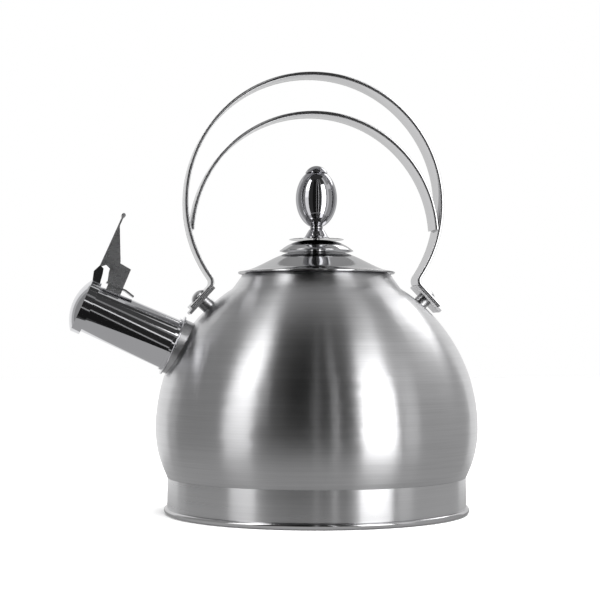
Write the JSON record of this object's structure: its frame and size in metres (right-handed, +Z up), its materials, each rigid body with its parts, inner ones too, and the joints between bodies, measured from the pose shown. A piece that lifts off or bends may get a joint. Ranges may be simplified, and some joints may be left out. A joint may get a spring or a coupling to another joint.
{
  "type": "stovetop whistling kettle",
  "caption": "Round steel stovetop kettle with a double-strap handle, lift-off lid with egg-shaped knob, and a lever-opened whistle cap on the spout.",
  "frame": {"origin": "centre of the base's resting face", "axes": "+Z up, spout towards -X, handle in the XZ plane, whistle hinge pin along Y"},
  "size_m": [0.2431, 0.1922, 0.2627],
  "materials": {
    "brushed_body": "satin, brushed round the body",
    "brushed_band": "finer satin, brushed round the band",
    "polished_steel": "polished",
    "spout_chrome": "mirror polished",
    "lever_steel": "satin pressed sheet",
    "plain_steel": "plain mill finish",
    "heat_aluminium": "plain",
    "spring_steel": "drawn wire",
    "lid_chrome": "mirror polished",
    "knob_chrome": "mirror polished"
  },
  "bodies": {
    "kettle": {"body_shell": "brushed_body", "base_band": "brushed_band", "base_rim": "polished_steel", "inner_floor": "plain_steel", "heat_disc": "heat_aluminium", "base_capsule": "plain_steel", "spout_tube": "spout_chrome", "spout_collar": "spout_chrome", "spout_sleeve": "plain_steel", "lever_bracket": "lever_steel", "hinge_pin": "lever_steel", "torsion_spring": "spring_steel", "handle_strap_outer": "polished_steel", "handle_strap_inner": "polished_steel", "handle_mount_left": "lever_steel", "handle_mount_right": "lever_steel", "handle_rivets": "polished_steel", "mount_washers": "plain_steel"},
    "whistle_lever": {"thumb_lever": "lever_steel", "cap_arm": "spout_chrome", "cap_shell": "spout_chrome", "whistle_front_plate": "plain_steel", "whistle_spacer": "plain_steel", "whistle_rear_plate": "plain_steel"},
    "lid": {"lid_cover": "lid_chrome", "lid_sleeve": "plain_steel", "lid_crown": "lid_chrome", "lid_disc": "lid_chrome", "knob_base": "knob_chrome", "knob_bead": "knob_chrome", "knob_egg": "knob_chrome", "knob_finial": "knob_chrome", "knob_stud": "plain_steel", "knob_washer": "plain_steel", "knob_nut": "plain_steel"}
  },
  "joints": [
    {"name": "whistle_hinge", "type": "hinge", "parent": "kettle", "child": "whistle_lever", "pos_m": [-0.12017, 0, 0.14575], "axis": [0, 1, 0], "range_deg": [0, 65], "stiffness_Nm_per_rad": 0.04, "springref_deg": -34.38},
    {"name": "lid_lift", "type": "slide", "parent": "kettle", "child": "lid", "axis": [0, 0, 1], "range_m": [0, 0.028]}
  ]
}
